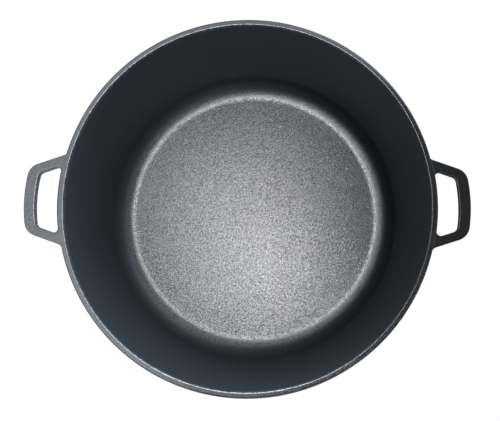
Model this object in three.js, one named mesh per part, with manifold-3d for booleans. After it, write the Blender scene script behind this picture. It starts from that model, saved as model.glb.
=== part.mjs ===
// Cast iron casserole: a deep bowl with drafted walls and two loop handles level with its rim.
// Units are millimetres and +Z is up. The origin is on the bowl's axis, on the plane it stands on.
// The handles reach out along +X and -X.
import * as THREE from "three";
import { mergeVertices } from "three/addons/utils/BufferGeometryUtils.js";
import Module from "manifold-3d";

const wasm = await Module();
wasm.setup();

// Driving dimensions of the bowl
const MOUTH_DIAMETER = 280; // inside, at the rim
const HEIGHT = 130; // from the standing plane to the rim
const WALL = 4.8; // width of the rim's flat land, and of the wall measured level
const BASE = 5.5; // thickness of the floor
const DRAFT = 8.4; // degrees that the wall leans out from upright
const FLOOR_FILLET = 20; // inside, where the floor turns up into the wall
const BASE_CORNER = 25; // outside, under the wall
const RIM_INNER_EDGE = 0.8; // rounding of the land's inner edge
const RIM_OUTER_EDGE = 1.2; // rounding of the land's outer edge

// Driving dimensions of a handle
const HANDLE_REACH = 25.4; // how far the grip stands out past the rim
const HANDLE_SPAN = 65.8; // across both arms, level with the rim's outermost point
const HANDLE_OFFSET = 3.4; // the arms stand this far behind the bowl's middle, while the grip bows round it
const HANDLE_DEPTH = 9; // from its top face to its underside
const HANDLE_DROP = 0.6; // its top face lies this far below the rim, clear of a lid
const ARM_WIDTH = 7; // of each arm, seen from above
const ARM_TAPER = 18.8; // degrees that each arm leans in towards the grip
const GRIP_WIDTH = 8.3; // of the grip, seen from above
const GRIP_BOW = 118; // radius of the grip's outer face
const CORNER_OUTSIDE = 11.7; // between an arm and the grip, on the outer face
const CORNER_INSIDE = 4.7; // between an arm and the grip, inside the finger opening
const BAR_EDGE = 1.4; // rounding of the edges of arms and grip
const ROOT_OUTSIDE = 3.4; // fillet from an arm's outer face into the rim
const ROOT_INSIDE = 2.6; // fillet from an arm's inner face into the rim
const ROOT_SINK = 0.4; // the root fillets end this far inside the rim
const ROOT_LENGTH = 2.2; // a root belongs to the bowl up to this far past the rim

// Fineness of the facets
const TURN_SEGMENTS = 96; // round the bowl
const CHORD_ERROR = 0.05; // the most that a chord of the bowl's section leaves its arc
const ARC_DIVISIONS = 4; // half the chords in each arc of a handle's outline
const EDGE_SEGMENTS = 3; // chords in the rounding of a handle's edge

const MOUTH_RADIUS = MOUTH_DIAMETER / 2;
const RIM_RADIUS = MOUTH_RADIUS + WALL;
const HANDLE_TOP = HEIGHT - HANDLE_DROP;
const ROOT_END = RIM_RADIUS + ROOT_LENGTH;
const WALL_SLOPE = Math.tan(THREE.MathUtils.degToRad(DRAFT));

const iron = new THREE.MeshStandardMaterial({ color: 0x3a3d41, roughness: 0.6, metalness: 0.35 });
const handleIron = new THREE.MeshStandardMaterial({ color: 0x4a4d50, roughness: 0.65, metalness: 0.35 });

// A closed geometry as a solid that can be joined and cut.
function solidFrom(geometry) {
  geometry.deleteAttribute("normal");
  geometry.deleteAttribute("uv");
  const merged = mergeVertices(geometry);
  return new wasm.Manifold(
    new wasm.Mesh({
      numProp: 3,
      vertProperties: merged.attributes.position.array,
      triVerts: new Uint32Array(merged.index.array),
    }),
  );
}

// A solid back as a geometry.
function geometryFrom(solid) {
  const mesh = solid.getMesh();
  const geometry = new THREE.BufferGeometry();
  geometry.setAttribute("position", new THREE.BufferAttribute(mesh.vertProperties, 3));
  geometry.setIndex(new THREE.BufferAttribute(mesh.triVerts, 1));
  geometry.computeVertexNormals();
  return geometry;
}

// The points of an outline with rounded corners.
// Each corner is [x, y, radius], and a corner with a radius of 0 stays sharp.
function roundedOutline(corners) {
  return corners.flatMap(([x, y, radius], i) => {
    const corner = new THREE.Vector2(x, y);
    if (radius === 0) return [corner];
    const back = new THREE.Vector2(...corners[i - 1]).sub(corner).normalize();
    const ahead = new THREE.Vector2(...corners[i + 1]).sub(corner).normalize();
    const halfAngle = Math.acos(back.dot(ahead)) / 2;
    const turn = Math.sign(ahead.cross(back)) * (Math.PI - 2 * halfAngle);
    const bisector = back.clone().add(ahead).normalize();
    const centre = corner.clone().addScaledVector(bisector, radius / Math.sin(halfAngle));
    const start = corner.clone().addScaledVector(back, radius / Math.tan(halfAngle));
    const widestChord = 2 * Math.acos(1 - CHORD_ERROR / radius);
    const chords = Math.ceil(Math.abs(turn) / widestChord);
    const step = turn / chords;
    return Array.from({ length: chords + 1 }, (_, k) => start.clone().rotateAround(centre, step * k));
  });
}

// The bowl's section, from the middle of the floor over the rim to the middle of the underside,
// turned about the axis. Below the rim each face of the wall lies in by the depth times the wall's slope.
function bowlSolid() {
  const floorCorner = MOUTH_RADIUS - (HEIGHT - BASE) * WALL_SLOPE;
  const baseCorner = RIM_RADIUS - HEIGHT * WALL_SLOPE;
  const section = roundedOutline([
    [0, BASE, 0],
    [floorCorner, BASE, FLOOR_FILLET],
    [MOUTH_RADIUS, HEIGHT, RIM_INNER_EDGE],
    [RIM_RADIUS, HEIGHT, RIM_OUTER_EDGE],
    [baseCorner, 0, BASE_CORNER],
    [0, 0, 0],
  ]);
  const turned = new THREE.LatheGeometry(section.reverse(), TURN_SEGMENTS);
  return solidFrom(turned.rotateX(Math.PI / 2));
}

// A handle's outline from above: u runs out from the bowl's axis and v along the grip, to the back.
// It is an open loop whose two ends run in through the wall.
// Each round stretch is an arc that is tangent to its neighbours.
function handleOutline() {
  const taper = THREE.MathUtils.degToRad(ARM_TAPER);
  const armNormal = Math.PI / 2 - taper;
  const bowCentre = RIM_RADIUS + HANDLE_REACH - GRIP_BOW;
  const innerBow = GRIP_BOW - GRIP_WIDTH;

  // Where a line along the arm, this far from the bowl's middle beside the rim,
  // meets a circle round a point on the u axis.
  const meet = (beside, circleCentre, radius) => {
    const along = new THREE.Vector2(Math.cos(taper), -Math.sin(taper));
    const from = new THREE.Vector2(RIM_RADIUS - circleCentre, beside);
    const middle = along.dot(from);
    const step = Math.sqrt(middle * middle - from.lengthSq() + radius * radius) - middle;
    return from.addScaledVector(along, step).add(new THREE.Vector2(circleCentre, 0));
  };
  // A corner between arm and grip rolls inside the bow, and a root fillet rolls on the rim.
  const cornerArc = (face, bow, radius) => {
    const centre = meet(face - radius / Math.cos(taper), bowCentre, bow - radius);
    return { centre, radius, bowAngle: Math.atan2(centre.y, centre.x - bowCentre) };
  };
  const rootArc = (face, radius, side) => {
    const centre = meet(face + (side * radius) / Math.cos(taper), 0, RIM_RADIUS - ROOT_SINK + radius);
    return { centre, radius, rimAngle: centre.angle() };
  };
  // The arcs of the back half (half = 1), or of the front half as its mirror image (half = -1).
  const arcsOf = (half) => {
    const outerFace = HANDLE_SPAN / 2 + half * HANDLE_OFFSET;
    const innerFace = outerFace - ARM_WIDTH / Math.cos(taper);
    return {
      half,
      outerCorner: cornerArc(outerFace, GRIP_BOW, CORNER_OUTSIDE),
      innerCorner: cornerArc(innerFace, innerBow, CORNER_INSIDE),
      outerRoot: rootArc(outerFace, ROOT_OUTSIDE, 1),
      innerRoot: rootArc(innerFace, ROOT_INSIDE, -1),
    };
  };
  const back = arcsOf(1);
  const front = arcsOf(-1);

  const outline = new THREE.Shape();
  // Draws an arc of the back half as given, and one of the front half mirrored and run the other way.
  const draw = ({ centre, radius }, from, to, clockwise, half) => {
    const [start, end] = half > 0 ? [from, to] : [-to, -from];
    outline.absarc(centre.x, half * centre.y, radius, start, end, clockwise);
  };
  const drawOuterRoot = ({ outerRoot, half }) =>
    draw(outerRoot, Math.PI + armNormal, Math.PI + outerRoot.rimAngle, true, half);
  const drawOuterCorner = ({ outerCorner, half }) =>
    draw(outerCorner, outerCorner.bowAngle, armNormal, false, half);
  const drawInnerRoot = ({ innerRoot, half }) =>
    draw(innerRoot, Math.PI + innerRoot.rimAngle, armNormal, true, half);
  const drawInnerCorner = ({ innerCorner, half }) =>
    draw(innerCorner, armNormal, innerCorner.bowAngle, true, half);
  const drawThroughWall = ({ rimAngle }, half) => {
    const radius = MOUTH_RADIUS - WALL;
    outline.lineTo(radius * Math.cos(rimAngle), half * radius * Math.sin(rimAngle));
  };
  drawOuterRoot(front);
  drawOuterCorner(front);
  outline.absarc(bowCentre, 0, GRIP_BOW, -front.outerCorner.bowAngle, back.outerCorner.bowAngle, false);
  drawOuterCorner(back);
  drawOuterRoot(back);
  drawThroughWall(back.outerRoot, 1);
  drawThroughWall(back.innerRoot, 1);
  drawInnerRoot(back);
  drawInnerCorner(back);
  outline.absarc(bowCentre, 0, innerBow, back.innerCorner.bowAngle, -front.innerCorner.bowAngle, true);
  drawInnerCorner(front);
  drawInnerRoot(front);
  drawThroughWall(front.innerRoot, -1);
  drawThroughWall(front.outerRoot, -1);
  // Arcs that touch share an end, which is kept once.
  const points = outline.getPoints(ARC_DIVISIONS);
  return new THREE.Shape(points.filter((point, i) => point.distanceTo(points.at(i - 1)) > CHORD_ERROR));
}

// The whole loop with its roots: the outline with rounded edges.
// Its root ends lean in with the wall, so that the fillets stay tangent to the wall all the way down.
function handleSolid() {
  const loop = new THREE.ExtrudeGeometry(handleOutline(), {
    depth: HANDLE_DEPTH - 2 * BAR_EDGE,
    bevelThickness: BAR_EDGE,
    bevelSize: BAR_EDGE,
    bevelOffset: -BAR_EDGE,
    bevelSegments: EDGE_SEGMENTS,
  });
  loop.translate(0, 0, HANDLE_TOP - HANDLE_DEPTH + BAR_EDGE);
  const place = loop.attributes.position;
  for (let i = 0; i < place.count; i++) {
    const nearWall = THREE.MathUtils.clamp((ROOT_END - place.getX(i)) / ROOT_LENGTH, 0, 1);
    const lean = (HEIGHT - place.getZ(i)) * WALL_SLOPE * nearWall;
    place.setX(i, place.getX(i) - lean);
  }
  return solidFrom(loop);
}

// The space within the middle of the wall, beside the handles, where the roots' ends are cut off.
function withinWall() {
  const height = 2 * HANDLE_DEPTH;
  const radius = RIM_RADIUS - WALL / 2;
  const cone = new THREE.CylinderGeometry(radius, radius - height * WALL_SLOPE, height, TURN_SEGMENTS);
  return solidFrom(cone.rotateX(Math.PI / 2).translate(0, 0, HEIGHT - height / 2));
}

const casserole = new THREE.Group();

function addPiece(name, solid, material) {
  const piece = new THREE.Mesh(geometryFrom(solid), material);
  piece.name = name;
  casserole.add(piece);
}

const loop = handleSolid();
const rightHandle = loop.trimByPlane([1, 0, 0], ROOT_END);
const rightRoots = loop.trimByPlane([-1, 0, 0], -ROOT_END).subtract(withinWall());
const leftHandle = rightHandle.mirror([1, 0, 0]);
const leftRoots = rightRoots.mirror([1, 0, 0]);

addPiece("pot_body", bowlSolid().add(rightRoots).add(leftRoots), iron);
addPiece("left_handle", leftHandle, handleIron);
addPiece("right_handle", rightHandle, handleIron);

export default casserole;
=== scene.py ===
"""Cast iron casserole: a black sand-cast pot with a rough floor, a flat rim and two loop handles.

The bowl is a section turned round its axis, and each handle is a bar carried along a loop.
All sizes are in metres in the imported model's frame: +Z is up, the pot stands on z = 0, and
the handles reach out along +X and -X.
"""

import logging
import math
from dataclasses import dataclass
from enum import Enum

import bpy
import numpy as np
from mathutils import Matrix, Vector


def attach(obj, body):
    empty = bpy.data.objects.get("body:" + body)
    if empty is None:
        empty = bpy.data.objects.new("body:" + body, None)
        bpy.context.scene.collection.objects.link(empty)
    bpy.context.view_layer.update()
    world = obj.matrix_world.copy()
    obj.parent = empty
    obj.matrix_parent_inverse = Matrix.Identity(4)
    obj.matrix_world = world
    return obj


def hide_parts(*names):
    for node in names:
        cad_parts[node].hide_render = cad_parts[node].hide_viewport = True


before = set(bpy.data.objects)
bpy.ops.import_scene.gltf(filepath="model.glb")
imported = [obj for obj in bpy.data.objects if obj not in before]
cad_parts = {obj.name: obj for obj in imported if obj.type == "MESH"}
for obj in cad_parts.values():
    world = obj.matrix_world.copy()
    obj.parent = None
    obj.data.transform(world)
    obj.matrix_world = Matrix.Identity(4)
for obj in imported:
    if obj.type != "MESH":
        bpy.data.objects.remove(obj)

MM = 0.001
QUARTER_TURN = math.pi / 2
log = logging.getLogger("casserole")

Triple = tuple[float, float, float]
Colour = tuple[float, float, float, float]
WHITE: Triple = (1.0, 1.0, 1.0)

# The cast faces' slow wander and the ragged lip: wave lengths in metres, and the start of each random draw.
WAVES_OF_EACH_LENGTH = 3
WALL_WAVES, WALL_SEED = (0.032, 0.055, 0.09), 5
LIP_WAVES, LIP_SEED = (0.004, 0.0065, 0.011), 11
BAR_WAVES, BAR_SEEDS = (0.014, 0.023, 0.041), (21, 22, 23)

# The finish on the floor's fillet: shares of the way up it, and the value at each of them.
FILLET_POLISH = ((0.0, 0.38, 0.66), (0.7, 0.55, 0.0))
# Edge wear up the lower fillet, which store_finish strengthens toward one side into a painted highlight.
FILLET_WEAR_AND_HIGHLIGHT = ((0.0, 0.1, 0.3, 0.5), (0.0, 0.1, 0.1, 0.0))
# Painted shade: a dark band laid on the upper part of the fillet.
FILLET_PAINTED_SHADE = ((0.38, 0.55, 0.85, 1.0), (0.0, 0.6, 0.6, 0.15))

# The value between thin and thick seasoning, at which the roughness stays as it is.
MEAN_CLOUD = 0.5


class Side(Enum):
    """The side of the bowl that a handle stands on, as the sign of its x."""

    LEFT = -1
    RIGHT = 1


def arc(centre: np.ndarray, radius: float, start: float, end: float, count: int) -> np.ndarray:
    """Points of an arc: its centre plus the radius turned evenly from one angle to the other."""
    turn = np.linspace(start, end, count)
    return np.asarray(centre) + radius * np.stack([np.cos(turn), np.sin(turn)], axis=1)


def line(start: np.ndarray, end: np.ndarray, count: int) -> np.ndarray:
    """Points spread evenly on a straight line, with both ends."""
    return np.linspace(np.asarray(start, float), np.asarray(end, float), count)


def side_by_side(*columns: np.ndarray | float) -> np.ndarray:
    """Stacks the columns of one stretch of points, each plain number repeated to the stretch's length."""
    return np.stack(np.broadcast_arrays(*columns))


def smooth_step(value: np.ndarray) -> np.ndarray:
    """Eases a value from 0 to 1: three times its square less twice its cube, held beyond the ends."""
    held = np.clip(value, 0.0, 1.0)
    return held * held * (3.0 - 2.0 * held)


def waves(place: np.ndarray, lengths: tuple[float, ...], seed: int) -> np.ndarray:
    """A smooth wander, mostly between -1 and 1.

    It is the mean of sine waves with drawn directions and phases, times the square root of 2.

    Args:
        place: Points as an array of any shape whose last axis is the coordinates.
        lengths: The wave lengths, in metres.
        seed: The start of the random draw, so that each run gives the same surface.

    Returns:
        One value for each point.
    """
    draw = np.random.default_rng(seed)
    number = np.repeat(2.0 * np.pi / np.asarray(lengths), WAVES_OF_EACH_LENGTH)
    direction = draw.normal(size=(number.size, place.shape[-1]))
    direction /= np.linalg.norm(direction, axis=1, keepdims=True)
    phase = draw.uniform(0.0, 2.0 * np.pi, number.size)
    return np.sin(place @ (direction * number[:, None]).T + phase).mean(axis=-1) * math.sqrt(2.0)


def push_out(grid: np.ndarray, turn: np.ndarray, amount: np.ndarray) -> None:
    """Moves a turned grid's points straight out from the axis, or in where the amount is negative."""
    grid[..., 0] += amount * np.cos(turn)
    grid[..., 1] += amount * np.sin(turn)


def closed_quads(rows: int, columns: int) -> tuple[np.ndarray, np.ndarray]:
    """The quads of a grid whose rows close on themselves.

    A quad joins a point and its neighbour ahead in one row to the same two of the next row.

    Args:
        rows: How many rows.
        columns: How many points in each row.

    Returns:
        The vertex number of each grid point, and the quads as an array of faces by 4.
    """
    number = np.arange(rows * columns).reshape(rows, columns)
    ahead = np.roll(number, -1, axis=1)
    quads = np.stack([number[:-1], number[1:], ahead[1:], ahead[:-1]], axis=2).reshape(-1, 4)
    return number, quads


def make_mesh(name: str, points: np.ndarray, faces: list[list[int]]) -> bpy.types.Object:
    """Puts worked-out points and faces into a smooth-shaded object at the origin.

    Args:
        name: The piece's name.
        points: An array of vertices by 3.
        faces: Vertex numbers of each face, turning to the left seen from outside.

    Returns:
        The new object, linked to the scene.
    """
    mesh = bpy.data.meshes.new(name)
    mesh.from_pydata(points.tolist(), [], faces)
    mesh.polygons.foreach_set("use_smooth", np.ones(len(mesh.polygons), bool))
    mesh.update()
    piece = bpy.data.objects.new(name, mesh)
    bpy.context.scene.collection.objects.link(piece)
    return piece


def add_values(piece: bpy.types.Object, name: str, values: np.ndarray) -> None:
    """Stores one number for each vertex, for a material to read as an attribute."""
    kept = piece.data.attributes.new(name, "FLOAT", "POINT")
    kept.data.foreach_set("value", np.ascontiguousarray(values, dtype=np.float32).ravel())


class Graph:
    """A node tree that is filled node by node."""

    # The sockets of a Mix node of colours, by number because their names repeat.
    MIX_FACTOR, MIX_A, MIX_B, MIX_RESULT = 0, 6, 7, 2

    def __init__(self, tree: bpy.types.NodeTree) -> None:
        """Takes the tree to fill."""
        self.tree = tree

    def add(self, kind: str, **settings: object) -> bpy.types.Node:
        """Adds a node.

        Args:
            kind: The node's type name.
            settings: Values for the node's own properties.

        Returns:
            The new node.
        """
        node = self.tree.nodes.new(kind)
        for key, value in settings.items():
            setattr(node, key, value)
        return node

    def feed(self, node: bpy.types.Node, sources: dict[str | int, object]) -> bpy.types.Node:
        """Links inputs of a node to output sockets, or sets their plain values.

        Args:
            node: The node.
            sources: For each input's name or number, an output socket or a value.

        Returns:
            The same node.
        """
        for slot, source in sources.items():
            if isinstance(source, bpy.types.NodeSocket):
                self.tree.links.new(source, node.inputs[slot])
            else:
                node.inputs[slot].default_value = source
        return node

    def use(self, group: bpy.types.NodeTree, sources: dict[str, object]) -> bpy.types.Node:
        """Places a node group and feeds its inputs."""
        return self.feed(self.add("ShaderNodeGroup", node_tree=group), sources)

    def attribute(self, name: str) -> bpy.types.NodeSocket:
        """The socket of a value that the mesh stores for each vertex."""
        return self.add("ShaderNodeAttribute", attribute_name=name).outputs["Fac"]

    def coordinate(self, system: str, axis: str) -> bpy.types.NodeSocket:
        """The socket of a point's X, Y or Z, in one of the Texture Coordinate node's systems."""
        place = self.add("ShaderNodeTexCoord").outputs[system]
        return self.feed(self.add("ShaderNodeSeparateXYZ"), {"Vector": place}).outputs[axis]

    def math(self, operation: str, a: object, b: object, clamp: bool = False) -> bpy.types.NodeSocket:
        """Combines two values or sockets, and holds the result between 0 and 1 where clamp says so."""
        node = self.add("ShaderNodeMath", operation=operation, use_clamp=clamp)
        return self.feed(node, {0: a, 1: b}).outputs[0]

    def span(
        self, value: object, low: float, high: float, to_low: object, to_high: object
    ) -> bpy.types.NodeSocket:
        """Carries a value smoothly from one span to another and holds it beyond the ends.

        Args:
            value: The value's socket.
            low: The value that gives to_low.
            high: The value that gives to_high.
            to_low: The result at low.
            to_high: The result at high.

        Returns:
            The result's socket.
        """
        node = self.add("ShaderNodeMapRange", interpolation_type="SMOOTHSTEP")
        ends = {"From Min": low, "From Max": high, "To Min": to_low, "To Max": to_high}
        return self.feed(node, {"Value": value, **ends}).outputs["Result"]

    def noise(self, place: object, scale: object, detail: float, roughness: float) -> bpy.types.NodeSocket:
        """A soft noise pattern.

        Args:
            place: The socket of the coordinates.
            scale: Waves per metre, as a value or socket.
            detail: How many finer layers are added.
            roughness: How strong each finer layer is.

        Returns:
            The socket of a value around 0.5.
        """
        layers = {"Detail": detail, "Roughness": roughness}
        node = self.add("ShaderNodeTexNoise")
        return self.feed(node, {"Vector": place, "Scale": scale, **layers}).outputs["Fac"]

    def blend(self, factor: object, a: object, b: object) -> bpy.types.NodeSocket:
        """Mixes two colours or sockets, taking as much of b as the factor says."""
        sources = {self.MIX_FACTOR: factor, self.MIX_A: a, self.MIX_B: b}
        return self.feed(self.add("ShaderNodeMix", data_type="RGBA"), sources).outputs[self.MIX_RESULT]


def new_group(
    name: str, inputs: tuple[str, ...], outputs: tuple[str, ...]
) -> tuple[Graph, bpy.types.Node, bpy.types.Node]:
    """Starts a shader node group that takes coordinates and values, and puts out values.

    Args:
        name: The group's name.
        inputs: The names of the values that it takes after the coordinates, which are named Place.
        outputs: The names of the values that it puts out.

    Returns:
        The group's graph, its input node and its output node.
    """
    tree = bpy.data.node_groups.new(name, "ShaderNodeTree")
    tree.interface.new_socket("Place", in_out="INPUT", socket_type="NodeSocketVector")
    for socket in inputs:
        tree.interface.new_socket(socket, in_out="INPUT", socket_type="NodeSocketFloat")
    for socket in outputs:
        tree.interface.new_socket(socket, in_out="OUTPUT", socket_type="NodeSocketFloat")
    graph = Graph(tree)
    return graph, graph.add("NodeGroupInput"), graph.add("NodeGroupOutput")


def sand_grain_group() -> bpy.types.NodeTree:
    """The skin that a sand mould leaves: close grains, softer lumps among them, and a few small pits.

    The height is a fine noise plus a small share of a noise of about two fifths its scale, less
    the pits. A pit is the middle of a wide cell, kept where a slow noise is high. The speckle is
    the height without the pits, spread from 0 to 1.

    Returns:
        The group, with the outputs Height, Speckle and Pits.
    """
    lump_scale, lump_share = 0.42, 0.12
    cell_scale, pit_middle, pit_edge, pit_depth = 0.16, 0.05, 0.16, 0.2
    patch_scale, patch_edge, patch_middle = 0.11, 0.56, 0.66
    speckle_low, speckle_high = 0.42, 0.70

    graph, given, result = new_group("sand grain", ("Grains",), ("Height", "Speckle", "Pits"))
    place, grains = given.outputs["Place"], given.outputs["Grains"]
    fine = graph.noise(place, grains, detail=1.0, roughness=0.5)
    lumps = graph.noise(place, graph.math("MULTIPLY", grains, lump_scale), detail=1.0, roughness=0.5)
    height = graph.math("ADD", fine, graph.math("MULTIPLY", lumps, lump_share))
    cells = graph.add("ShaderNodeTexVoronoi", feature="F1")
    graph.feed(cells, {"Vector": place, "Scale": graph.math("MULTIPLY", grains, cell_scale)})
    middles = graph.span(cells.outputs["Distance"], pit_middle, pit_edge, 1.0, 0.0)
    slow = graph.noise(place, graph.math("MULTIPLY", grains, patch_scale), detail=0.0, roughness=0.5)
    pits = graph.math("MULTIPLY", middles, graph.span(slow, patch_edge, patch_middle, 0.0, 1.0))
    pitted = graph.math("SUBTRACT", height, graph.math("MULTIPLY", pits, pit_depth))
    speckle = graph.span(height, speckle_low, speckle_high, 0.0, 1.0)
    graph.feed(result, {"Height": pitted, "Speckle": speckle, "Pits": pits})
    return graph.tree


def edge_wear_group() -> bpy.types.NodeTree:
    """Wear along an edge: the edge's own weight, broken into beads by one noise and faded by a slow one.

    Returns:
        The group, with the output Wear.
    """
    bead_low, bead_high, least_bead = 0.38, 0.6, 0.15
    fade_scale, fade_low, fade_high, least_fade = 22.0, 0.35, 0.65, 0.55

    graph, given, result = new_group("edge wear", ("Edge", "Beads"), ("Wear",))
    place = given.outputs["Place"]
    close = graph.noise(place, given.outputs["Beads"], detail=2.0, roughness=0.6)
    beads = graph.span(close, bead_low, bead_high, least_bead, 1.0)
    slow = graph.noise(place, fade_scale, detail=1.0, roughness=0.5)
    faded = graph.math("MULTIPLY", beads, graph.span(slow, fade_low, fade_high, least_fade, 1.0))
    graph.feed(result, {"Wear": graph.math("MULTIPLY", given.outputs["Edge"], faded)})
    return graph.tree


def seasoning_group() -> bpy.types.NodeTree:
    """Slow clouds of thinner and thicker seasoning: two broad noises added and eased.

    Returns:
        The group, with the output Clouds.
    """
    broad_scale, broad_share = 16.0, 0.6
    near_scale, near_share = 70.0, 0.4
    thin, thick = 0.32, 0.68

    graph, given, result = new_group("seasoning", (), ("Clouds",))
    place = given.outputs["Place"]
    broad = graph.noise(place, broad_scale, detail=2.0, roughness=0.5)
    near = graph.noise(place, near_scale, detail=2.0, roughness=0.55)
    both = graph.math(
        "ADD", graph.math("MULTIPLY", broad, broad_share), graph.math("MULTIPLY", near, near_share)
    )
    graph.feed(result, {"Clouds": graph.span(both, thin, thick, 0.0, 1.0)})
    return graph.tree


@dataclass(frozen=True)
class SeasonedIron:
    """Seasoned cast iron: a nearly black baked coat over a sand-cast skin, rubbed thin on the edges.

    Colours are linear. A surface's polish runs from 0, where the matt coat is whole, to 1, where
    the iron is rubbed bare. At these ends, coated and bare say how metallic it is, and rough and
    smooth how rough. Grains and beads of wear are counted per metre. The grain's colours, dark and
    light, show through the whole coat by grain_seen and fully from coat_gone on. From rub_start
    on, the rubbed colour covers them, up to rub_cover. A pit adds pitting to the roughness, and
    from thin to thick seasoning the roughness falls by cloud_sheen.
    """

    name: str
    dark: Colour = (0.049, 0.050, 0.052, 1.0)
    light: Colour = (0.181, 0.182, 0.186, 1.0)
    coat: Colour = (0.084, 0.090, 0.098, 1.0)
    rubbed: Colour = (0.182, 0.182, 0.184, 1.0)
    worn: Colour = (0.27, 0.272, 0.278, 1.0)
    # Painted shade: the near-black colour that the painted_shade weight lays over the skin.
    painted_shade: Colour = (0.022, 0.024, 0.027, 1.0)
    bare: float = 0.88
    coated: float = 0.38
    grains: float = 1500.0
    grain_depth: float = 0.054 * MM
    smooth: float = 0.14
    rough: float = 0.54
    beads: float = 420.0
    pitting: float = 0.35
    cloud_sheen: float = 0.02
    coat_gone: float = 0.6
    grain_seen: float = 0.2
    rub_start: float = 0.75
    rub_cover: float = 0.6

    def material(self, groups: dict[str, bpy.types.NodeTree]) -> bpy.types.Material:
        """Builds the material.

        Args:
            groups: The shared node groups by name.

        Returns:
            The material, which reads Object coordinates and the attributes "edge", "polish", "grain"
            and "painted_shade", the weight of a painted shade. An attribute that a mesh lacks counts as 0.
        """
        made = bpy.data.materials.new(self.name)
        made.use_nodes = True
        made.node_tree.nodes.clear()
        graph = Graph(made.node_tree)
        place = graph.add("ShaderNodeTexCoord").outputs["Object"]
        edge, polish, sanded, shade_weight = map(graph.attribute, ("edge", "polish", "grain", "painted_shade"))
        grain = graph.use(groups["grain"], {"Place": place, "Grains": self.grains})
        wear = graph.use(groups["wear"], {"Place": place, "Edge": edge, "Beads": self.beads})
        clouds = graph.use(groups["seasoning"], {"Place": place})

        cast = graph.blend(grain.outputs["Speckle"], self.dark, self.light)
        uncoated = graph.span(polish, 0.0, self.coat_gone, self.grain_seen, 1.0)
        skin = graph.blend(uncoated, self.coat, cast)
        skin = graph.blend(graph.span(polish, self.rub_start, 1.0, 0.0, self.rub_cover), skin, self.rubbed)
        # Painted shade: darkens the colour by the painted_shade weight.
        skin = graph.blend(shade_weight, skin, self.painted_shade)
        sheen = graph.span(polish, 0.0, 1.0, self.rough, self.smooth)
        cloudy = graph.math("SUBTRACT", clouds.outputs["Clouds"], MEAN_CLOUD)
        cloudy = graph.math("MULTIPLY", cloudy, -self.cloud_sheen)
        pitted = graph.math("MULTIPLY", grain.outputs["Pits"], self.pitting)
        uneven = graph.math("ADD", cloudy, pitted)
        bump = graph.add("ShaderNodeBump")
        relief = {"Strength": sanded, "Distance": self.grain_depth, "Height": grain.outputs["Height"]}
        graph.feed(bump, relief)

        shader = graph.add("ShaderNodeBsdfPrincipled")
        looks = {
            "Base Color": graph.blend(wear.outputs["Wear"], skin, self.worn),
            "Roughness": graph.math("ADD", sheen, uneven, clamp=True),
            "Metallic": graph.span(polish, 0.0, 1.0, self.coated, self.bare),
            "Normal": bump.outputs["Normal"],
        }
        graph.feed(shader, looks)
        graph.feed(graph.add("ShaderNodeOutputMaterial"), {"Surface": shader.outputs["BSDF"]})
        return made


@dataclass(frozen=True)
class Stretch:
    """A stretch of the bowl's section: points as radius and height, and the values that they share.

    Edge is the weight of edge wear, grain the strength of the sand grain, and core the share in
    the inside of the pot, which follows the mould's core.
    """

    points: np.ndarray
    edge: float
    polish: float
    grain: float
    core: float


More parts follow.
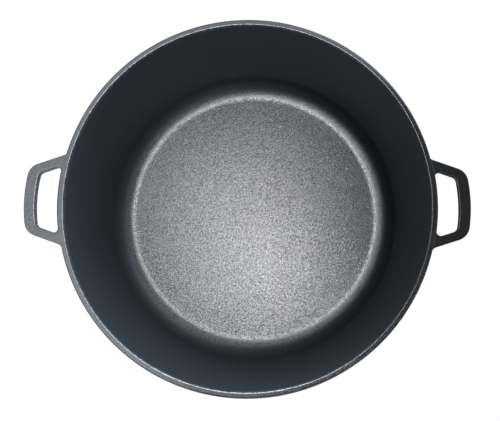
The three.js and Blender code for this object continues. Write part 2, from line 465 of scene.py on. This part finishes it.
@dataclass
class Bowl:
    """The pot itself, one turned casting: floor, drafted wall, flat rim land, outside and underside.

    The floor's fillet has the radius floor_ease for its first ease_turn, and floor_fillet above.
    The mould's core, which shapes the inside, sat off the middle by core_shift. From the share
    oval_from of the height upwards, the mouth grows wider along x by oval.

    A web thickens the outside between the roots of each handle, from web_foot up over web_rise.
    Its middle is turned back from the x axis by web_turn, and it fades where the sine of the turn
    from there passes web_half, over web_fade. The faces wander, less by polish_still at full
    polish, and not at all at the foot and the rim, over base_still and rim_still.

    On a stretch of the lip round lip_shade_turn, wear and polish are lowered: the lip is rougher
    there, and its lighter edge is dimmed as painted shade. A band of painted shade darkens the
    fillet, most at shade_turn. The fillet's wear is strengthened into a painted highlight, strongest
    at ring_highlight_turn.
    """

    mouth_radius: float = 140.0 * MM
    height: float = 130.0 * MM
    wall: float = 4.6 * MM
    base: float = 5.5 * MM
    draft: float = math.radians(8.4)
    floor_ease: float = 27.0 * MM
    ease_turn: float = math.radians(20.0)
    floor_fillet: float = 16.2 * MM
    base_corner: float = 25.0 * MM
    rim_inner_edge: float = 0.8 * MM
    rim_outer_edge: float = 0.8 * MM
    core_shift: tuple[float, float] = (0.05 * MM, 0.42 * MM)
    oval: float = 0.3 * MM
    oval_from: float = 0.6
    web: float = 0.65 * MM
    web_turn: float = 0.024
    web_half: float = 0.19
    web_fade: float = 0.05
    web_foot: float = 108.0 * MM
    web_rise: float = 14.0 * MM
    wander: float = 0.12 * MM
    polish_still: float = 0.8
    base_still: float = 8.0 * MM
    rim_still: float = 4.0 * MM
    ragged: float = 0.09 * MM
    # Painted shade on the lip: its wear and polish are lowered round lip_shade_turn, over lip_shade_spread,
    # by lip_shade.
    lip_shade_turn: float = math.radians(-22.0)
    lip_shade_spread: float = math.radians(42.0)
    lip_shade: float = 0.85
    # Painted shade: the fillet's dark band is darkest toward shade_turn and leans by shade_lean.
    shade_turn: float = math.radians(30.0)
    shade_lean: float = 0.6
    # Painted highlight: the fillet's wear is strongest toward ring_highlight_turn and leans by
    # ring_highlight_lean.
    ring_highlight_turn: float = math.radians(60.0)
    ring_highlight_lean: float = 2.6
    turns: int = 560

    @property
    def rim_radius(self) -> float:
        """The radius of the rim's outer edge."""
        return self.mouth_radius + self.wall

    def stretches(self) -> dict[str, Stretch]:
        """The section from the middle of the floor over the rim to the middle of the underside.

        Each rounded corner is an arc tangent to its two neighbours: its centre lies a radius away
        from the level face, and a radius over the cosine of the draft from the wall's line. The
        floor's fillet is two such arcs, a wide one and then a closer one, tangent where they meet.

        Returns:
            The stretches by name, in order.
        """
        slope, lean = math.tan(self.draft), 1.0 / math.cos(self.draft)

        def beside(radius: float, level: float, away: float) -> np.ndarray:
            """A centre at this level, away from the wall line that meets the rim at this radius."""
            return np.array([radius - (self.height - level) * slope + away * lean, level])

        ease, fillet, eased = self.floor_ease, self.floor_fillet, self.ease_turn - QUARTER_TURN
        between = (ease - fillet) * np.array([math.cos(eased), math.sin(eased)])
        upper = beside(self.mouth_radius, self.base + ease + between[1], -fillet)
        floor_turn = np.concatenate(
            [
                arc(upper - between, ease, -QUARTER_TURN, eased, count=13)[:-1],
                arc(upper, fillet, eased, -self.draft, count=17),
            ]
        )
        lip, edge, corner = self.rim_inner_edge, self.rim_outer_edge, self.base_corner
        lip_centre = beside(self.mouth_radius, self.height - lip, lip)
        lip_turn = arc(lip_centre, lip, math.pi - self.draft, QUARTER_TURN, count=8)
        edge_centre = beside(self.rim_radius, self.height - edge, -edge)
        edge_turn = arc(edge_centre, edge, QUARTER_TURN, -self.draft, count=8)
        corner_centre = beside(self.rim_radius, corner, -corner)
        base_turn = arc(corner_centre, corner, -self.draft, -QUARTER_TURN, count=20)
        floor = line((0.0, self.base), floor_turn[0], count=26)[1:-1]
        inside = line(floor_turn[-1], lip_turn[0], count=28)[1:-1]
        land = line(lip_turn[-1], edge_turn[0], count=6)[1:-1]
        outside = line(edge_turn[-1], base_turn[0], count=28)[1:-1]
        underside = line(base_turn[-1], (0.0, 0.0), count=24)[1:-1]
        return {
            "floor": Stretch(floor, edge=0.0, polish=0.7, grain=1.0, core=1.0),
            "fillet": Stretch(floor_turn, edge=0.0, polish=0.7, grain=1.0, core=1.0),
            "inside": Stretch(inside, edge=0.0, polish=0.0, grain=0.6, core=1.0),
            "lip": Stretch(lip_turn, edge=1.0, polish=1.0, grain=0.5, core=1.0),
            "land": Stretch(land, edge=0.12, polish=1.0, grain=0.5, core=0.5),
            "rim edge": Stretch(edge_turn, edge=0.3, polish=1.0, grain=0.5, core=0.0),
            "outside": Stretch(outside, edge=0.0, polish=0.4, grain=0.8, core=0.0),
            "base corner": Stretch(base_turn, edge=0.0, polish=0.4, grain=0.8, core=0.0),
            "underside": Stretch(underside, edge=0.1, polish=0.4, grain=0.8, core=0.0),
        }

    def section(self) -> dict[str, np.ndarray]:
        """Joins the stretches, and lets the finish change up the floor's fillet and over the lip.

        Returns:
            The points as radius and height, and for each point its edge wear, which on the fillet is
            partly a painted highlight, polish, grain, core and painted shade, and whether it lies on the
            ring, which is the floor's fillet, or on the lip.
        """
        stretches = self.stretches()
        counts = [len(stretch.points) for stretch in stretches.values()]
        ends = np.cumsum(counts)
        rows = {name: slice(end - count, end) for name, count, end in zip(stretches, counts, ends)}
        made = {"points": np.concatenate([stretch.points for stretch in stretches.values()])}
        for value in ("edge", "polish", "grain", "core"):
            made[value] = np.repeat([getattr(stretch, value) for stretch in stretches.values()], counts)
        made["ring"], made["lip"], made["painted_shade"] = np.zeros((3, ends[-1]))
        made["ring"][rows["fillet"]] = 1.0
        made["lip"][rows["lip"]] = 1.0

        up = np.linspace(0.0, 1.0, len(stretches["fillet"].points))
        made["polish"][rows["fillet"]] = np.interp(up, *FILLET_POLISH)
        made["edge"][rows["fillet"]] = np.interp(up, *FILLET_WEAR_AND_HIGHLIGHT)
        made["painted_shade"][rows["fillet"]] = np.interp(up, *FILLET_PAINTED_SHADE)
        made["polish"][rows["lip"]] = np.linspace(0.0, 1.0, len(stretches["lip"].points))
        return made

    def cast(self, section: dict[str, np.ndarray], turn: np.ndarray) -> np.ndarray:
        """Turns the section round the axis and gives it the small faults of a casting.

        A point is (r cos t, r sin t, z) for a section point (r, z) and a turn t. The inside is moved
        by the core's shift and widened along x near the rim. All faces wander along their normals,
        the lip is ragged, and a web thickens the outside under the rim between each handle's roots.

        Args:
            section: The section's points and their values.
            turn: The angle of each column.

        Returns:
            The points as rows by turns by 3.
        """
        profile, core = section["points"], section["core"][:, None]
        radius, level = profile[:, :1], profile[:, 1:]
        grid = np.stack([radius * np.cos(turn), radius * np.sin(turn), level + np.zeros_like(turn)], axis=2)
        grid[..., :2] += core[..., None] * np.asarray(self.core_shift)
        oval_share = (level - self.oval_from * self.height) / ((1.0 - self.oval_from) * self.height)
        grid[..., 0] += core * self.oval * smooth_step(oval_share) * np.cos(turn)

        along = np.gradient(profile, axis=0)
        facing = np.stack([-along[:, 1], along[:, 0]], axis=1)
        facing /= np.linalg.norm(facing, axis=1, keepdims=True)
        below_rim = 1.0 - smooth_step((level - (self.height - self.rim_still)) / self.rim_still)
        free = np.clip(level / self.base_still, 0.0, 1.0) * below_rim
        free = free * (1.0 - self.polish_still * section["polish"][:, None])
        push = self.wander * waves(grid, WALL_WAVES, WALL_SEED) * free
        push_out(grid, turn, push * facing[:, :1])
        grid[..., 2] += push * facing[:, 1:]
        push_out(grid, turn, -self.ragged * waves(grid, LIP_WAVES, LIP_SEED) * section["lip"][:, None])

        from_middle = np.abs(np.sin(turn - self.web_turn * np.sign(np.cos(turn))))
        between_roots = 1.0 - smooth_step((from_middle - self.web_half) / self.web_fade)
        under_rim = smooth_step((level - self.web_foot) / self.web_rise) * (core == 0.0)
        push_out(grid, turn, self.web * between_roots * under_rim)
        return grid

    def store_finish(
        self, piece: bpy.types.Object, section: dict[str, np.ndarray], turn: np.ndarray
    ) -> None:
        """Stores the values that the finish reads, uneven round the pot.

        Lowering the edge wear and polish on a stretch of the lip, by a bell curve of the turn from its
        middle, roughens the lip there and dims its lighter edge as painted shade. The ring's wear,
        strengthened into a painted highlight, and the painted shade band are multiplied by 1 plus their
        lean times the cosine of the turn from their strongest side.

        Args:
            piece: The bowl's object.
            section: The section's points and their values.
            turn: The angle of each column.
        """
        # Painted shade on the lip, which is also rougher there: wear and polish are lowered round
        # lip_shade_turn.
        from_lip_shade = np.angle(np.exp(1j * (turn - self.lip_shade_turn))) / self.lip_shade_spread
        lip_unshaded = 1.0 - self.lip_shade * np.exp(-(from_lip_shade**2)) * section["lip"][:, None]
        # Painted highlight: the fillet's wear leans toward ring_highlight_turn.
        ring = 1.0 + self.ring_highlight_lean * section["ring"][:, None] * np.cos(turn - self.ring_highlight_turn)
        shares = {
            "edge": lip_unshaded * np.maximum(ring, 0.0),
            "polish": lip_unshaded,
            "grain": np.ones_like(turn),
            # Painted shade: the fillet's dark band leans toward shade_turn.
            "painted_shade": 1.0 + self.shade_lean * np.cos(turn - self.shade_turn),
        }
        for name, share in shares.items():
            values = section[name][:, None] * share
            at_poles = values[[0, -1], 0]
            add_values(piece, name, np.append(values, at_poles))

    def build(self) -> bpy.types.Object:
        """Builds the bowl as a turned grid with a fan of triangles round each pole.

        Returns:
            The bowl's object, which is closed.
        """
        section = self.section()
        turn = np.linspace(0.0, 2.0 * np.pi, self.turns, endpoint=False)
        grid = self.cast(section, turn)
        number, quads = closed_quads(*grid.shape[:2])
        first, last = number[0], number[-1]
        floor_pole, base_pole = number.size, number.size + 1
        floor_fan = np.stack([np.full_like(first, floor_pole), first, np.roll(first, -1)], axis=1)
        base_fan = np.stack([np.full_like(last, base_pole), np.roll(last, -1), last], axis=1)
        poles = [[*self.core_shift, self.base], [0.0, 0.0, 0.0]]
        points = np.concatenate([grid.reshape(-1, 3), poles])
        piece = make_mesh("bowl", points, quads.tolist() + floor_fan.tolist() + base_fan.tolist())
        self.store_finish(piece, section, turn)
        return piece

    def dress(self, piece: bpy.types.Object, finish: bpy.types.Material) -> None:
        """Gives the bowl its finish and its place in the frame.

        Args:
            piece: The bowl's object.
            finish: Its material.
        """
        piece.data.materials.append(finish)
        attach(piece, "root")
        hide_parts("pot_body")


@dataclass
class LoopHandle:
    """A cast loop handle: two tapering arms and a bowed grip, which runs into the rim at its roots.

    The span is taken over both arms at the rim, and the offset is how far its middle lies behind
    the x axis. The top lies below the rim's land by drop, and rises to land_gap below it over
    root_rise. At the wall the underside swells by root_under over root_swell, and the bar leans
    in with the wall over root_lean. The root fillets end root_sink inside the wall's face, and
    the bar goes on by root_buried, with its edge roundings reduced to end_rounding.
    """

    side: Side
    node: str
    reach: float = 25.4 * MM
    span: float = 65.8 * MM
    offset: float = 3.4 * MM
    depth: float = 9.0 * MM
    drop: float = 0.3 * MM
    arm_width: float = 7.0 * MM
    taper: float = math.radians(18.8)
    grip_width: float = 8.3 * MM
    bow: float = 118.0 * MM
    corner_outside: float = 11.7 * MM
    corner_inside: float = 4.7 * MM
    top_edge: float = 0.3 * MM
    thumb_bevel: float = 0.7 * MM
    bevel_slope: float = math.radians(4.0)
    under_edge: float = 1.2 * MM
    root_back: float = 3.0 * MM
    root_front: float = 5.0 * MM
    root_inside: float = 3.4 * MM
    root_under: float = 2.2 * MM
    root_swell: float = 3.6 * MM
    root_sink: float = 0.4 * MM
    root_buried: float = 2.3 * MM
    root_rise: float = 22.0 * MM
    root_lean: float = 2.6 * MM
    end_rounding: float = 0.15
    land_gap: float = 0.03 * MM
    wander: float = 0.05 * MM
    side_polish: float = 0.45
    thumb_grain: float = 0.05

    @property
    def bevel_drop(self) -> float:
        """How far the thumb bevel falls below the top."""
        return self.thumb_bevel * math.tan(self.bevel_slope)

    def meet(self, bowl: Bowl, beside: float, circle_centre: float, radius: float) -> np.ndarray:
        """Where a line along the arm meets a circle round a point on the u axis.

        Args:
            bowl: The bowl that carries the handle.
            beside: How far the line passes from the bowl's middle, level with the rim.
            circle_centre: The circle's centre on the u axis.
            radius: The circle's radius.

        Returns:
            The outer meeting point as u, out from the axis, and v, along the grip.
        """
        along = np.array([math.cos(self.taper), -math.sin(self.taper)])
        start = np.array([bowl.rim_radius - circle_centre, beside])
        middle = along @ start
        step = math.sqrt(middle * middle - start @ start + radius * radius) - middle
        return start + along * step + np.array([circle_centre, 0.0])

    def half_edges(self, bowl: Bowl, half: int) -> dict[str, np.ndarray]:
        """The outer and inner edge of half a loop from the grip's corner to the wall, and their normals.

        Corners roll inside the bow and root fillets roll on the rim, so each arc is tangent to
        its neighbours.

        Args:
            bowl: The bowl that carries the handle.
            half: 1 for the back half, or -1 for the front half, which is worked out in a mirror.

        Returns:
            Points and outward normals of both edges, station by station, and the bow's end angles.
        """
        rim = bowl.rim_radius
        normal, lean = QUARTER_TURN - self.taper, math.cos(self.taper)
        bow_centre = rim + self.reach - self.bow
        inner_bow, inner_seat = self.bow - self.grip_width, rim + bowl.web
        outer_face = self.span / 2 + half * self.offset
        inner_face = outer_face - self.arm_width / lean
        root_outside = self.root_back if half > 0 else self.root_front
        mirror = np.array([1.0, half])
        edges: dict[str, np.ndarray] = {}
        for name, face, bow, corner, root, seat, out in (
            ("outer", outer_face, self.bow, self.corner_outside, root_outside, rim, 1.0),
            ("inner", inner_face, inner_bow, self.corner_inside, self.root_inside, inner_seat, -1.0),
        ):
            turn = self.meet(bowl, face - corner / lean, bow_centre, bow - corner)
            bow_angle = math.atan2(turn[1], turn[0] - bow_centre)
            foot = self.meet(bowl, face + out * root / lean, 0.0, seat - self.root_sink + root)
            rim_angle = math.atan2(foot[1], foot[0])
            start = normal + math.pi if out > 0 else normal
            corner_arc = arc(turn, corner, bow_angle, normal, count=16)
            root_arc = arc(foot, root, start, rim_angle + math.pi, count=14)
            arm = line(corner_arc[-1], root_arc[0], count=12)[1:-1]
            outward = np.array([[math.cos(rim_angle), math.sin(rim_angle)]])
            buried = root_arc[-1:] - self.root_buried * outward
            arm_normal = out * np.array([math.cos(normal), math.sin(normal)])
            facing = np.concatenate(
                [
                    out * (corner_arc - turn) / corner,
                    np.tile(arm_normal, (len(arm), 1)),
                    (foot - root_arc) / root,
                    (foot - root_arc[-1:]) / root,
                ]
            )
            edges[name] = np.concatenate([corner_arc, arm, root_arc, buried]) * mirror
            edges[name + "_normal"] = facing * mirror
            edges[name + "_bow"] = np.array([half * bow_angle])
        return edges

    def loop(self, bowl: Bowl) -> dict[str, np.ndarray]:
        """Both edges of the whole loop, from the front root round the grip to the back root.

        Args:
            bowl: The bowl that carries the handle.

        Returns:
            Points and outward normals of the outer and inner edge, station by station.
        """
        back, front = self.half_edges(bowl, 1), self.half_edges(bowl, -1)
        centre = np.array([bowl.rim_radius + self.reach - self.bow, 0.0])
        whole: dict[str, np.ndarray] = {}
        for name, radius, out in (("outer", self.bow, 1.0), ("inner", self.bow - self.grip_width, -1.0)):
            bow, normal = name + "_bow", name + "_normal"
            grip = arc(centre, radius, front[bow][0], back[bow][0], count=46)[1:-1]
            facing = out * (grip - centre) / radius
            whole[name] = np.concatenate([front[name][::-1], grip, back[name]])
            whole[normal] = np.concatenate([front[normal][::-1], facing, back[normal]])
        return whole

    def bar_section(self) -> dict[str, np.ndarray]:
        """The bar's section as a closed ring: a rectangle with rounded edges and a bevel for the thumb.

        A rounding point lies (1 - cos a) of the radius in from the side and (1 - sin a) of it from
        the level face. The bevel falls from the top to the rounding of the inner edge.

        Returns:
            For each point its share of the inner edge and of the top, how far it is set in from
            the outer and the inner side, and how far it lies from the level face.
        """
        turn = np.linspace(0.0, QUARTER_TURN, num=7)
        side, face = 1.0 - np.cos(turn), 1.0 - np.sin(turn)
        across, up = np.linspace(0.0, 1.0, num=9)[1:], np.linspace(0.0, 1.0, num=7)[1:-1]
        top, under, drop = self.top_edge, self.under_edge, self.bevel_drop
        ring = [
            side_by_side(0.0, 1.0, top * side, 0.0, top * face),
            side_by_side(across, 1.0, top, top + self.thumb_bevel, 0.0),
            side_by_side(1.0, 1.0, 0.0, top * side[::-1], drop + top * face[::-1]),
            side_by_side(1.0, up[::-1], 0.0, 0.0, under + (drop + top - under) * up[::-1]),
            side_by_side(1.0, 0.0, 0.0, under * side, under * face),
            side_by_side(across[-2::-1], 0.0, under, under, 0.0),
            side_by_side(0.0, 0.0, under * side[::-1], 0.0, under * face[::-1]),
            side_by_side(0.0, up, 0.0, 0.0, under + (top - under) * up),
        ]
        names = ("inward", "top", "from_outer", "from_inner", "from_face")
        return dict(zip(names, np.concatenate(ring, axis=1)))

    def carry(self, bowl: Bowl, bar: dict[str, np.ndarray]) -> np.ndarray:
        """Carries the bar's section along the loop.

        A point lies between the outer and the inner edge by its share, set in along the edges'
        normals by the rounding. The top rises to the rim's land at the roots, the underside swells
        there, and the root ends lean in with the wall's draft. Away from the roots the faces wander.

        Args:
            bowl: The bowl that carries the handle.
            bar: The bar's section.

        Returns:
            The points as stations by section points by 3.
        """
        edges = self.loop(bowl)
        middle = (edges["outer"] + edges["inner"]) / 2
        out_from_rim = np.linalg.norm(middle, axis=1) - bowl.rim_radius
        at_root = 1.0 - smooth_step(out_from_rim / self.root_rise)
        at_wall = 1.0 - smooth_step((out_from_rim + self.root_sink) / self.root_swell)
        top_level = bowl.height - self.drop + (self.drop - self.land_gap) * at_root
        under_level = bowl.height - self.drop - self.depth - self.root_under * at_wall**2
        rounded = np.ones((len(middle), 1))
        rounded[[0, -1]] = self.end_rounding

        sides: dict[str, np.ndarray] = {}
        for name in ("outer", "inner"):
            set_in = (rounded * bar["from_" + name])[..., None] * edges[name + "_normal"][:, None]
            sides[name] = edges[name][:, None] - set_in
        plan = sides["outer"] + (sides["inner"] - sides["outer"]) * bar["inward"][None, :, None]
        high = top_level[:, None] - rounded * bar["from_face"]
        low = under_level[:, None] + rounded * bar["from_face"]
        level = low + (high - low) * bar["top"]
        near = 1.0 - smooth_step((np.linalg.norm(plan, axis=2) - bowl.rim_radius) / self.root_lean)
        plan[..., 0] -= (bowl.height - level) * math.tan(bowl.draft) * near
        points = np.concatenate([plan, level[..., None]], axis=2)
        points[..., 0] *= self.side.value
        free = (1.0 - at_root)[:, None]
        for axis, seed in enumerate(BAR_SEEDS):
            points[..., axis] += self.wander * free * waves(points, BAR_WAVES, seed)
        return points

    def store_finish(self, piece: bpy.types.Object, bar: dict[str, np.ndarray], stations: int) -> None:
        """Stores the values that the finish reads, the same at each station of the loop.

        The loop's inner face is worn, the top and its bevel are polished, and the inner edge of
        the top has almost no grain.

        Args:
            piece: The handle's object.
            bar: The bar's section.
            stations: How many stations the loop has.
        """
        on_inside, on_top = bar["inward"] == 1.0, bar["top"] == 1.0
        held = on_inside & ~on_top & (bar["top"] > 0.0)
        # A hair of room lets the points that lie right on the top or the bevel count as level.
        hair = self.top_edge / 100
        level = on_top & (bar["from_face"] < self.bevel_drop * bar["inward"] + hair)
        for name, values in (
            ("edge", np.where(held, 1.0, 0.0)),
            ("polish", np.where(level, 1.0, self.side_polish)),
            ("grain", np.where(on_inside & on_top, self.thumb_grain, 1.0)),
        ):
            add_values(piece, name, np.tile(values, stations))

    def build(self, bowl: Bowl) -> bpy.types.Object:
        """Builds the handle, with its ends closed inside the wall.

        Args:
            bowl: The bowl that carries the handle.

        Returns:
            The handle's object.
        """
        bar = self.bar_section()
        points = self.carry(bowl, bar)
        number, quads = closed_quads(*points.shape[:2])
        faces = [*quads.tolist(), number[0].tolist(), number[-1, ::-1].tolist()]
        if self.side is Side.LEFT:
            faces = [face[::-1] for face in faces]
        piece = make_mesh(f"{self.side.name.lower()}_loop", points.reshape(-1, 3), faces)
        self.store_finish(piece, bar, len(points))
        return piece

    def dress(self, piece: bpy.types.Object, finish: bpy.types.Material) -> None:
        """Gives the handle its finish and its place in the frame.

        Args:
            piece: The handle's object.
            finish: Its material.
        """
        piece.data.materials.append(finish)
        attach(piece, "root")
        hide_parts(self.node)


@dataclass(frozen=True)
class SoftBox:
    """A soft panel light: its middle, the point it faces, its width and height, power and colour."""

    name: str
    middle: Triple
    faces: Triple
    size: tuple[float, float]
    watts: float
    colour: Triple = WHITE

    def build(self) -> None:
        """Hangs the light."""
        lamp = bpy.data.lights.new(self.name, "AREA")
        lamp.shape = "RECTANGLE"
        lamp.size, lamp.size_y = self.size
        lamp.energy, lamp.color = self.watts, self.colour
        hung = bpy.data.objects.new(self.name, lamp)
        hung.location = self.middle
        away = Vector(self.faces) - Vector(self.middle)
        hung.rotation_mode = "QUATERNION"
        hung.rotation_quaternion = away.to_track_quat("-Z", "Y")
        bpy.context.scene.collection.objects.link(hung)


def overhead(
    name: str, over: tuple[float, float], size: tuple[float, float], watts: float, colour: Triple = WHITE
) -> SoftBox:
    """A soft box that hangs over a point of the floor and faces straight down."""
    ceiling = 1.25
    return SoftBox(name, (*over, ceiling), (*over, 0.0), size, watts, colour)


def beside_pot(name: str, middle: Triple, watts: float, colour: Triple) -> SoftBox:
    """A wide soft box that stands to one side and faces the middle of the pot."""
    pot_middle, size = (0.0, 0.0, 0.1), (0.90, 0.42)
    return SoftBox(name, middle, pot_middle, size, watts, colour)


@dataclass
class Studio:
    """The plain pale floor, the soft lights and the camera that looks down into the pot.

    The floor's left half glows with floor_glow, which fades out across the middle over glow_fade
    to each side. The room's light falls from room_low at the horizon to room_high where the sine
    of the angle above it is room_rise. The lens and the sensor are in millimetres.
    """

    eye: Triple = (45.5 * MM, -62.6 * MM, 880.0 * MM)
    aim: Triple = (3.50 * MM, -3.05 * MM, 130.0 * MM)
    roll: float = math.radians(0.911)
    lens: float = 71.49
    sensor: float = 36.0
    clip: tuple[float, float] = (0.01, 50.0)
    floor_size: float = 8.0
    floor_gap: float = 0.2 * MM
    floor_colour: Colour = (0.04, 0.04, 0.04, 1.0)
    floor_roughness: float = 0.9
    floor_glow: float = 0.5
    glow_fade: float = 0.12
    glow_colour: Colour = (0.87, 0.92, 1.0, 1.0)
    room_colour: Colour = (0.92, 0.95, 1.0, 1.0)
    room_low: float = 0.05
    room_high: float = 0.01
    room_rise: float = 0.24
    room_seen: float = 0.95
    boxes: tuple[SoftBox, ...] = (
        overhead("near box", (-0.03, -0.065), (0.25, 0.16), 1.32),
        overhead("back strip", (-0.074, 0.12), (0.272, 0.212), 1.15),
        overhead("left front box", (-0.46, -0.19), (0.52, 0.44), 1.18, (0.85, 0.92, 1.0)),
        overhead("left back box", (-0.46, 0.26), (0.52, 0.46), 0.99, (0.85, 0.92, 1.0)),
        overhead("back box", (-0.14, 0.605), (0.64, 0.67), 1.34, (0.88, 0.93, 1.0)),
        overhead("back right box", (0.54, 0.72), (0.55, 0.50), 1.5, (0.99, 0.96, 1.0)),
        overhead("right box", (0.80, 0.10), (0.45, 1.10), 1.3, (0.92, 0.94, 1.0)),
        overhead("front box", (-0.18, -0.25), (0.38, 0.22), 0.17, (0.84, 0.88, 1.0)),
        overhead("front right box", (0.48, -0.62), (0.55, 0.60), 1.3, (0.66, 0.78, 1.0)),
        beside_pot("cool side box", (0.62, 1.05, 0.36), 9.0, (0.56, 0.76, 1.0)),
        beside_pot("high side box", (0.62, 0.80, 0.80), 3.0, (0.55, 0.77, 1.0)),
        SoftBox("low side box", (0.80, -0.16, 0.06), (0.0, 0.0, 0.06), (0.70, 0.09), 2.2, (0.86, 0.93, 1.0)),
        beside_pot("front side box", (0.26, -1.05, 0.66), 3.6, (0.66, 0.80, 1.0)),
    )

    def build_camera(self) -> None:
        """Sets the camera: it looks from the eye to the aim, rolled about the line of sight."""
        forward = (Vector(self.aim) - Vector(self.eye)).normalized()
        level = forward.cross(Vector((0.0, 1.0, 0.0))).normalized()
        upright = level.cross(forward)
        right = level * math.cos(self.roll) + upright * math.sin(self.roll)
        up = right.cross(forward)
        data = bpy.data.cameras.new("camera")
        data.sensor_fit = "HORIZONTAL"
        data.sensor_width, data.lens = self.sensor, self.lens
        data.clip_start, data.clip_end = self.clip
        camera = bpy.data.objects.new("camera", data)
        turned = Matrix((right, up, -forward)).transposed().to_4x4()
        camera.matrix_world = Matrix.Translation(self.eye) @ turned
        bpy.context.scene.collection.objects.link(camera)
        bpy.context.scene.camera = camera

    def build_floor(self) -> None:
        """Lays a floor that the camera sees as plain white.

        To every other ray it is nearly black, apart from a cool glow on the left, which lights the
        handle and the wall there from below and fades out across the middle.
        """
        half = self.floor_size / 2
        corners = np.array([[-half, -half], [half, -half], [half, half], [-half, half]])
        points = np.column_stack([corners, np.full(len(corners), -self.floor_gap)])
        ground = make_mesh("floor", points, [list(range(len(corners)))])
        paper = bpy.data.materials.new("white paper")
        paper.use_nodes = True
        graph = Graph(paper.node_tree)
        seen = graph.add("ShaderNodeLightPath").outputs["Is Camera Ray"]
        across = graph.coordinate("Object", "X")
        glow = graph.span(across, -self.glow_fade, self.glow_fade, self.floor_glow, 0.0)
        looks = {
            "Base Color": self.floor_colour,
            "Roughness": self.floor_roughness,
            "Specular IOR Level": 0.0,
            "Emission Color": graph.blend(seen, self.glow_colour, (*WHITE, 1.0)),
            "Emission Strength": graph.span(seen, 0.0, 1.0, glow, 1.0),
        }
        graph.feed(paper.node_tree.nodes["Principled BSDF"], looks)
        ground.data.materials.append(paper)

    def build_lights(self) -> None:
        """Hangs the soft boxes, and fills the room with a dim light that is stronger near the horizon.

        The camera sees the room as evenly pale.
        """
        for box in self.boxes:
            box.build()
        world = bpy.data.worlds.new("room")
        world.use_nodes = True
        bpy.context.scene.world = world
        graph = Graph(world.node_tree)
        seen = graph.add("ShaderNodeLightPath").outputs["Is Camera Ray"]
        rise = graph.coordinate("Generated", "Z")
        glow = graph.span(rise, 0.0, self.room_rise, self.room_low, self.room_high)
        strength = graph.span(seen, 0.0, 1.0, glow, self.room_seen)
        graph.feed(world.node_tree.nodes["Background"], {"Color": self.room_colour, "Strength": strength})
        bpy.context.scene.view_settings.view_transform = "Standard"

    def build(self) -> None:
        """Builds the camera, the floor and the lights."""
        self.build_camera()
        self.build_floor()
        self.build_lights()


def main() -> None:
    """Builds the studio, the bowl and the two handles."""
    logging.basicConfig(level=logging.INFO, format="%(name)s: %(message)s")
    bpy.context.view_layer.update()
    Studio().build()
    groups = {"grain": sand_grain_group(), "wear": edge_wear_group(), "seasoning": seasoning_group()}
    bowl_iron = SeasonedIron("seasoned bowl iron").material(groups)
    handle_iron = SeasonedIron(
        "seasoned handle iron",
        dark=(0.022, 0.023, 0.024, 1.0),
        light=(0.208, 0.209, 0.212, 1.0),
        rubbed=(0.193, 0.190, 0.185, 1.0),
        grain_depth=0.07 * MM,
        smooth=0.12,
        pitting=0.03,
    ).material(groups)

    bowl = Bowl()
    pot = bowl.build()
    bowl.dress(pot, bowl_iron)
    log.info("%s: %d faces", pot.name, len(pot.data.polygons))
    left = LoopHandle(
        Side.LEFT,
        "left_handle",
        reach=26.3 * MM,
        span=66.9 * MM,
        thumb_bevel=1.4 * MM,
        bevel_slope=math.radians(6.4),
    )
    right = LoopHandle(Side.RIGHT, "right_handle", reach=24.9 * MM, span=64.7 * MM)
    for handle in (left, right):
        loop = handle.build(bowl)
        handle.dress(loop, handle_iron)
        log.info("%s: %d faces", loop.name, len(loop.data.polygons))


if __name__ == "__main__":
    main()
